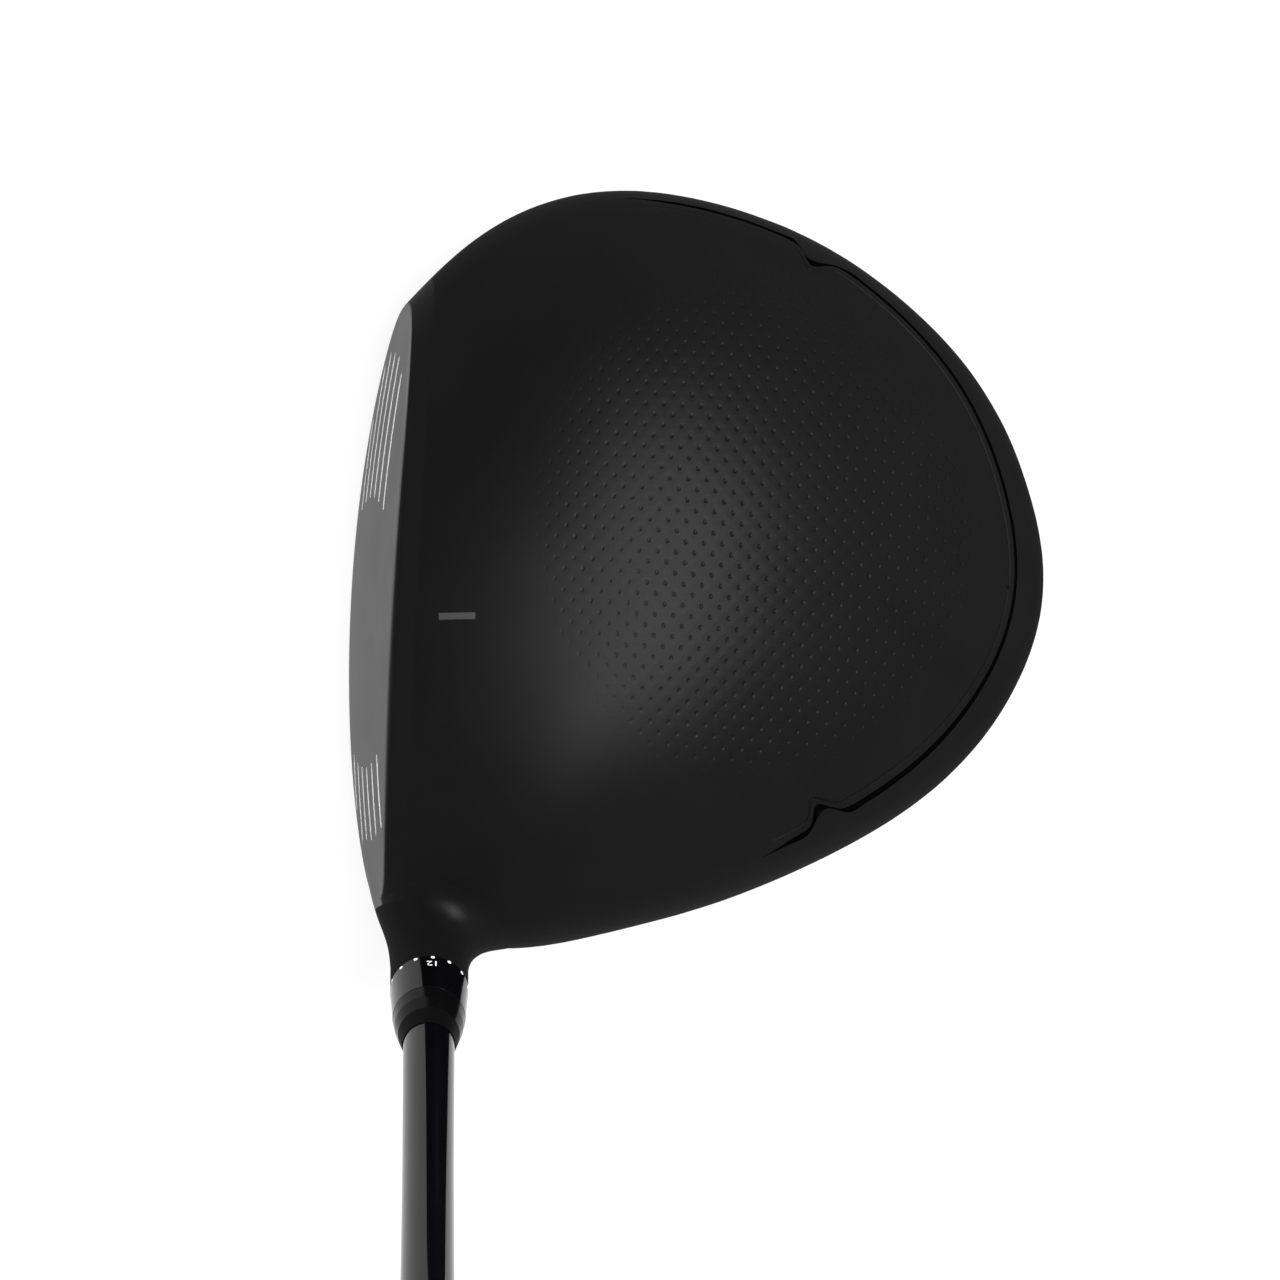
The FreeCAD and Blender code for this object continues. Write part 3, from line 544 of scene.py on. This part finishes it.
def shell_height(x, y):
    """Height of the finished panel: crown, rounded edge, fine line and dents."""
    angle, distance = plan_place(x, y)
    inside = panel_edge(angle, 0.0) - distance
    over = np.clip(EDGE_ROUND - (inside - gap(angle)), 0, EDGE_ROUND)
    round_off = EDGE_ROUND - np.sqrt(np.maximum(EDGE_ROUND ** 2 - over ** 2, 0))
    z = crown_height(x, y) - groove_share(angle) * round_off
    off = (inside - line_inward(angle)) / LINE_HALF
    z = z - line_depth(angle) * np.maximum(1 - off ** 2, 0) ** 2
    core, dish, strength = dent_at(x, y)
    return z - strength * (DENT_DEPTH * np.maximum(1 - core ** 2, 0) ** 2
                           + DISH_DEPTH * np.maximum(1 - dish ** 2, 0))


def shell_top():
    """Plan points and faces of the shell's top."""
    angles = np.arange(RIM_COUNT) * 2 * math.pi / RIM_COUNT
    line = line_inward(angles)
    rings = [ring_points(angles, gap(angles) + step) for step in EDGE_RINGS]
    rings += [ring_points(angles, line + step) for step in LINE_RINGS]
    edges = [(first + i, first + (i + 1) % RIM_COUNT)
             for first in range(0, len(rings) * RIM_COUNT, RIM_COUNT)
             for i in range(RIM_COUNT)]
    coarse = ring_points(angles[::3], line[::3] + COARSE_RING)
    plain = plain_points(TOP_STEP, TOP_INWARD)
    plain = plain[field_share(plain[:, 0], plain[:, 1]) > TOP_START]
    return triangulated(np.concatenate(rings + [coarse, plain, dent_points()]), edges)


def shell_normals(x, y):
    """Normals of the finished panel at plan points."""
    h = 0.01
    slope_x = (shell_height(x + h, y) - shell_height(x - h, y)) / (2 * h)
    slope_y = (shell_height(x, y + h) - shell_height(x, y - h)) / (2 * h)
    normals = np.column_stack([-slope_x, -slope_y, np.ones(len(x))])
    return normals / np.linalg.norm(normals, axis=1)[:, None]


def boundary(faces):
    """The points round the open edge of the faces, in order."""
    sides = dict.fromkeys(side for face in faces for side in zip(face, face[1:] + face[:1]))
    after = {a: b for a, b in sides if (b, a) not in sides}
    order = [next(iter(after))]
    while after[order[-1]] != order[0]:
        order.append(after[order[-1]])
    return order


def crown_shell():
    """Crown panel with its dents, rounded edge and fine line, closed below."""
    flat, faces = shell_top()
    x, y = flat[:, 0], flat[:, 1]
    top = np.column_stack([flat, shell_height(x, y)])
    order = boundary(faces)
    around = len(order)
    wall = PANEL_WALL - SHELL_THINNER
    below = top[order] - np.array([0, 0, wall])
    inner = plain_points(UNDER_STEP, UNDER_INWARD)
    low, low_faces = triangulated(np.concatenate([below[:, :2], inner]),
                                  [(i, (i + 1) % around) for i in range(around)])
    under = np.column_stack([low, crown_height(low[:, 0], low[:, 1]) - wall])
    under[:around, 2] = below[:, 2]
    n = len(top)
    walls = [(order[(i + 1) % around], order[i], n + i, n + (i + 1) % around)
             for i in range(around)]
    bottoms = [tuple(n + k for k in reversed(face)) for face in low_faces]
    made = piece("crown_shell", np.concatenate([top, under]),
                 [tuple(face) for face in faces] + walls + bottoms, crown_paint, "head")
    mesh = made.data
    normals = shell_normals(x, y)
    loops = []
    for polygon in mesh.polygons:
        for k in polygon.loop_indices:
            on_top = polygon.index < len(faces)
            normal = normals[mesh.loops[k].vertex_index] if on_top else polygon.normal
            loops.append(tuple(normal))
    mesh.normals_split_custom_set(loops)
    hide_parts("crown_panel")


def painted_groove_shade():
    """Black matte strip at the bottom of the open groove: painted shade that darkens the groove.
    """
    middle, half, fade = GROOVE_ARC
    reach = half + fade / 2
    angles = np.radians(np.arange(middle - reach, middle + reach, SHADE_STRIP_STEP))
    open_width = gap(angles)
    points, faces = [], []
    for share, sink in ((-SHADE_STRIP_LAP, SHADE_STRIP_TOP), (1 + SHADE_STRIP_LAP, SHADE_STRIP_TOP),
                        (1 + SHADE_STRIP_LAP, SHADE_STRIP_BOTTOM), (-SHADE_STRIP_LAP, SHADE_STRIP_BOTTOM)):
        ring = ring_points(angles, share * open_width)
        z = crown_height(ring[:, 0], ring[:, 1]) - sink
        points += [tuple(p) for p in np.column_stack([ring, z])]
    count = len(angles)
    for side in range(4):
        a, b = side * count, (side + 1) % 4 * count
        faces += [(a + i, a + i + 1, b + i + 1, b + i) for i in range(count - 1)]
    faces.append((0, count, 2 * count, 3 * count))
    faces.append(tuple(k * count + count - 1 for k in (3, 2, 1, 0)))
    piece("painted_groove_shade", points, faces, painted_shade_black, "head")


crown_shell()
# painted shade: a black strip at the bottom of the crown's groove
painted_groove_shade()


# ------------------------------------------------------------------ score lines

def on_face(y, z, lift=0.0):
    """Point on the face surface, which bulges and rolls about one centre."""
    c = BALL_CENTRE
    radius = FACE_RADIUS + lift
    return Vector((c.x - math.sqrt(radius ** 2 - (y - c.y) ** 2 - (z - c.z) ** 2), y, z))


def head_form(x, y, z):
    """Negative inside the head, and 0 on its skin."""
    reach, skirt = float(reach_of(x, y)), skirt_height(x)
    if z >= skirt:
        rise = max(crown_camber(x, y) - skirt, LEAST_RISE)
        return reach ** CROWN_POWERS[0] + ((z - skirt) / rise) ** CROWN_POWERS[1] - 1
    drop = max(skirt - sole_camber(x, y), LEAST_RISE)
    return reach ** SOLE_POWERS[0] + ((skirt - z) / drop) ** SOLE_POWERS[1] - 1


def rim_distance(p):
    """Rough distance from a point on the face to the face's rim."""
    h = 0.05
    here = head_form(*p)
    slope = math.hypot((head_form(p.x, p.y + h, p.z) - here) / h,
                       (head_form(p.x, p.y, p.z + h) - here) / h)
    return -here / max(slope, 1e-6)


def score_stations(k, side):
    """Stations of line k from the blank area out to the rim, on one side; and its height."""
    z = GROUND + SCORE_LOW + SCORE_PITCH * k
    off = k - (SCORE_COUNT - 1) / 2
    curve = SCORE_CURVE * off ** 2 * (1 if abs(off) > 1 else SCORE_CURVE_MIDDLE)
    y = SCORE_MIDDLE - SCORE_SLANT * z + side * (SCORE_BLANK - curve)
    limit = SCORE_TOE - SCORE_SLANT * z if side > 0 else SCORE_HEEL
    stations = []
    while (limit - y) * side > 0 and rim_distance(on_face(y, z)) > SCORE_RIM:
        stations.append(y)
        y += side * SCORE_STEP
    return stations, z


def score_lines():
    """Thin raised paint in the place of each score line, tapered at its ends."""
    sides = len(SCORE_PROFILE)
    points, faces = [], []
    for k in range(SCORE_COUNT):
        for side in (1, -1):
            stations, z = score_stations(k, side)
            if len(stations) < 3:
                continue
            first = len(points)
            for i, y in enumerate(stations):
                half = SCORE_HALF * (0.5 if i in (0, len(stations) - 1) else 1)
                points += [on_face(y, z + half * up, lift) for up, lift in SCORE_PROFILE]
            for i in range(len(stations) - 1):
                for j in range(sides):
                    a, b = first + i * sides + j, first + i * sides + (j + 1) % sides
                    quad = (a, b, b + sides, a + sides)
                    faces.append(quad if side < 0 else quad[::-1])
            last = first + (len(stations) - 1) * sides
            ends = (tuple(range(first, first + sides)),
                    tuple(reversed(range(last, last + sides))))
            faces += ends if side > 0 else [end[::-1] for end in ends]
    piece("score_lines", points, faces, line_paint, "head", smooth=False)


score_lines()


# ------------------------------------------------------------------ painted marks

def alignment_mark():
    """Thin painted bar that points at the target, at the front of the crown."""
    points, faces = [], []
    rows, columns = 14, 4
    for lift in (AIM_LIFT, PAINT_SINK):
        for i in range(rows + 1):
            x = AIM_FRONT + AIM_LENGTH * i / rows
            for j in range(columns + 1):
                y = AIM_Y - AIM_WIDTH / 2 + AIM_WIDTH * j / columns
                points.append((x, y, float(crown_height(x, y)) + lift))
    across = columns + 1
    layer = (rows + 1) * across
    for i in range(rows):
        for j in range(columns):
            a = i * across + j
            quad = (a, a + across, a + across + 1, a + 1)
            faces.append(quad)
            faces.append(tuple(k + layer for k in reversed(quad)))
    ring = list(range(across))
    ring += [i * across + columns for i in range(1, rows + 1)]
    ring += [rows * across + j for j in range(columns - 1, -1, -1)]
    ring += [i * across for i in range(rows - 1, 0, -1)]
    for a, b in zip(ring, ring[1:] + ring[:1]):
        faces.append((a, b, b + layer, a + layer))
    piece("alignment_mark", points, faces, mark_paint, "head", smooth=False)


def dot_angle(k):
    return math.radians(DOT_START + 360 * k / DOTS)


def collar_dots():
    """Round dots of paint along the collar's lower edge."""
    points, faces = [], []
    ring = 14
    for k in range(DOTS):
        first = len(points)
        for lift in (DOT_LIFT, PAINT_SINK):
            for i in range(ring):
                turn = 2 * math.pi * i / ring
                points.append(on_axis(COLLAR_LOW + DOT_RISE + DOT_R * math.sin(turn),
                                      COLLAR_R + lift,
                                      dot_angle(k) + DOT_R * math.cos(turn) / COLLAR_R))
        faces.append(tuple(first + i for i in range(ring)))
        faces.append(tuple(first + ring + i for i in reversed(range(ring))))
        for i in range(ring):
            j = (i + 1) % ring
            faces.append((first + j, first + i, first + ring + i, first + ring + j))
    piece("collar_dots", points, faces, white_paint, "club", smooth=False)


def flat_number(number):
    """Mesh of a number that lies flat, in millimetres."""
    text = bpy.data.curves.new("number", "FONT")
    text.body = number
    text.size = NUMBER_SIZE
    text.align_x = "CENTER"
    text.extrude = NUMBER_HALF
    text.resolution_u = 2
    holder = bpy.data.objects.new("number", text)
    mesh = bpy.data.meshes.new_from_object(holder)
    bpy.data.objects.remove(holder)
    bpy.data.curves.remove(text)
    return mesh


def collar_numbers():
    """Plain numbers beside three of the dots, wrapped round the tapered collar."""
    taper = COLLAR_R - COLLAR_TOP_R
    points, faces = [], []
    for k, number in NUMBERS:
        mesh = flat_number(number)
        first = len(points)
        for v in mesh.vertices:
            station = COLLAR_LOW + NUMBER_RISE + v.co.y
            radius = COLLAR_R - taper * (station - COLLAR_LOW) / COLLAR_LENGTH
            points.append(on_axis(station, radius + v.co.z + NUMBER_LIFT,
                                  dot_angle(k) + v.co.x / radius))
        faces += [tuple(first + i for i in polygon.vertices) for polygon in mesh.polygons]
        bpy.data.meshes.remove(mesh)
    piece("collar_numbers", points, faces, white_paint, "club", smooth=False)


alignment_mark()
collar_dots()
collar_numbers()


# ------------------------------------------------------------------ grip

def grip_radii(along):
    """Radius of the grip without its lattice: taper, swell, bead and ring grooves."""
    part = np.clip((along + GRIP_MOUTH - GRIP_START) / (GRIP_LOW_CAP - GRIP_START), 0, 1)
    radius = GRIP_R + (GRIP_TOP_R - GRIP_R) * part - GRIP_SWELL * 4 * part * (1 - part)
    radius = radius + np.interp(along, BEAD_STATIONS, BEAD_HEIGHTS)
    for ring in RING_GROOVES:
        radius = radius - RING_DEPTH * np.maximum(1 - ((along - ring) / RING_HALF) ** 2, 0)
    return radius


def lattice_cut(along, turns):
    """Depth of the crossing grooves, by station and turn."""
    share = np.zeros_like(along)
    for low, high in LATTICE_FIELDS:
        inside = np.minimum(along - low, high - along)
        share = np.maximum(share, np.clip(inside / FIELD_FADE, 0, 1))
    cut = np.zeros((len(along), len(turns)))
    for hand in (1, -1):
        phase = LATTICE_TURNS * turns[None, :] + hand * along[:, None] / LATTICE_PITCH
        off = np.abs(phase - np.round(phase)) / LATTICE_WIDTH
        cut = np.maximum(cut, np.clip(LATTICE_STEEPNESS * (1 - off), 0, 1))
    return LATTICE_DEPTH * share[:, None] * cut


def grip_skin():
    """Moulded grip: tapered, with fields of crossing grooves between plain bands."""
    around = LATTICE_TURNS * 8
    turns = np.arange(around) / around
    mouth = GRIP_MOUTH + np.array(MOUTH_STATIONS)
    length = np.arange(GRIP_START, GRIP_LOW_CAP, LATTICE_PITCH / 8)
    stations = np.concatenate([mouth, length, [GRIP_LOW_CAP]])
    along = stations - GRIP_MOUTH
    outer = grip_radii(along)[:, None] - lattice_cut(along, turns)
    points, faces = [], []
    for station, radii in zip(stations, outer):
        points += [on_axis(station, r, 2 * math.pi * turn) for r, turn in zip(radii, turns)]
    low, high = len(points), len(points) + around
    last = low - around
    for station in (GRIP_MOUTH, GRIP_LOW_CAP):
        points += [on_axis(station, GRIP_BORE_R, 2 * math.pi * turn) for turn in turns]
    rows = len(stations)
    for i in range(rows - 1):
        for j in range(around):
            k = (j + 1) % around
            faces.append((i * around + j, i * around + k, (i + 1) * around + k,
                          (i + 1) * around + j))
    # the two end faces and the bore
    for j in range(around):
        k = (j + 1) % around
        faces.append((low + j, low + k, k, j))
        faces.append((last + j, last + k, high + k, high + j))
        faces.append((high + j, high + k, low + k, low + j))
    made = piece("grip_skin", points, faces, grip_rubber, "club")
    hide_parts("grip_sleeve")


grip_skin()


# ------------------------------------------------------------------ camera, light, floor

ELEVATION = math.radians(86)    # the photograph looks almost straight down
TARGET = Vector((34.65, 35.67, 20.0)) * MM
DISTANCE = 10.0                 # the photograph shows hardly any perspective
HALF_VIEW = 0.10543             # half width of the picture at the target
LAMP_AIM = Vector((0.035, 0.044, 0.03))
WORLD_LEVEL, CEILING_LEVEL = 1.0, 0.28
CEILING_START = 0.14            # upward share of the direction where the ceiling begins
FLOOR_GLOW = 0.88               # share of plain white that the camera and gloss see
FLOOR_HALF = 6.0
FLOOR_CLEAR = 0.00005           # the floor lies this far under the sole

scene = bpy.context.scene
scene.view_settings.view_transform = "Standard"


def add_camera():
    data = bpy.data.cameras.new("camera")
    data.sensor_width = 36
    data.lens = data.sensor_width / 2 / (HALF_VIEW / DISTANCE)
    data.clip_start, data.clip_end = 0.1, 100
    data.dof.use_dof = False
    made = bpy.data.objects.new("camera", data)
    scene.collection.objects.link(made)
    back = Vector((0, -math.cos(ELEVATION), math.sin(ELEVATION)))
    made.location = TARGET + back * DISTANCE
    made.rotation_mode = "QUATERNION"
    made.rotation_quaternion = (-back).to_track_quat("-Z", "Y")
    scene.camera = made


def lamp(name, direction, reach, size, watts, turn, diffuse):
    """Area lamp; turn is the plan angle of its long axis, from +X to +Y, in degrees."""
    data = bpy.data.lights.new(name, "AREA")
    data.shape = "ELLIPSE"
    data.size, data.size_y = size
    data.energy = watts
    data.diffuse_factor = diffuse
    made = bpy.data.objects.new(name, data)
    scene.collection.objects.link(made)
    out = Vector(direction).normalized()
    along = Vector((math.cos(math.radians(turn)), math.sin(math.radians(turn)), 0))
    along = (along - out * along.dot(out)).normalized()
    made.location = LAMP_AIM + out * reach
    made.rotation_mode = "QUATERNION"
    made.rotation_quaternion = Matrix((along, out.cross(along), out)).transposed().to_quaternion()


def studio():
    """White world that dims from a little above the horizon up."""
    world = bpy.data.worlds.new("studio")
    scene.world = world
    world.use_nodes = True
    tree = world.node_tree
    way = node(tree, "TexCoord").outputs["Generated"]
    up = node(tree, "SeparateXYZ", {0: way}).outputs["Z"]
    level = map_range(tree, up, 0.0, CEILING_START, WORLD_LEVEL, CEILING_LEVEL)
    fill(tree.nodes["Background"], {"Color": (1, 1, 1, 1), "Strength": level})


def floor():
    """White floor that keeps the shadow, and looks plain white in gloss and to the camera."""
    mat = bpy.data.materials.new("floor_white")
    mat.use_nodes = True
    tree = mat.node_tree
    shader = tree.nodes["Principled BSDF"]
    fill(shader, {"Base Color": (0.8, 0.8, 0.8, 1), "Roughness": 0.9,
                  "Specular IOR Level": 0.0})
    rays = node(tree, "LightPath").outputs
    seen = math_of(tree, "MAXIMUM", rays["Is Camera Ray"], rays["Is Glossy Ray"])
    seen = math_of(tree, "MAXIMUM", seen, rays["Is Transmission Ray"])
    mix = node(tree, "MixShader", {"Fac": math_of(tree, "MULTIPLY", seen, FLOOR_GLOW),
                                   1: shader.outputs["BSDF"],
                                   2: node(tree, "Emission").outputs["Emission"]})
    fill(tree.nodes["Material Output"], {"Surface": mix.outputs["Shader"]})
    half, z = FLOOR_HALF, GROUND * MM - FLOOR_CLEAR
    mesh = bpy.data.meshes.new("floor")
    mesh.from_pydata([(-half, -half, z), (half, -half, z), (half, half, z), (-half, half, z)],
                     [], [(0, 1, 2, 3)])
    mesh.materials.append(mat)
    made = bpy.data.objects.new("floor", mesh)
    scene.collection.objects.link(made)


add_camera()
lamp("key", (0.235, -0.025, 0.98), 1.7, (1.95, 0.85), 96, turn=44, diffuse=0.24)
studio()
floor()
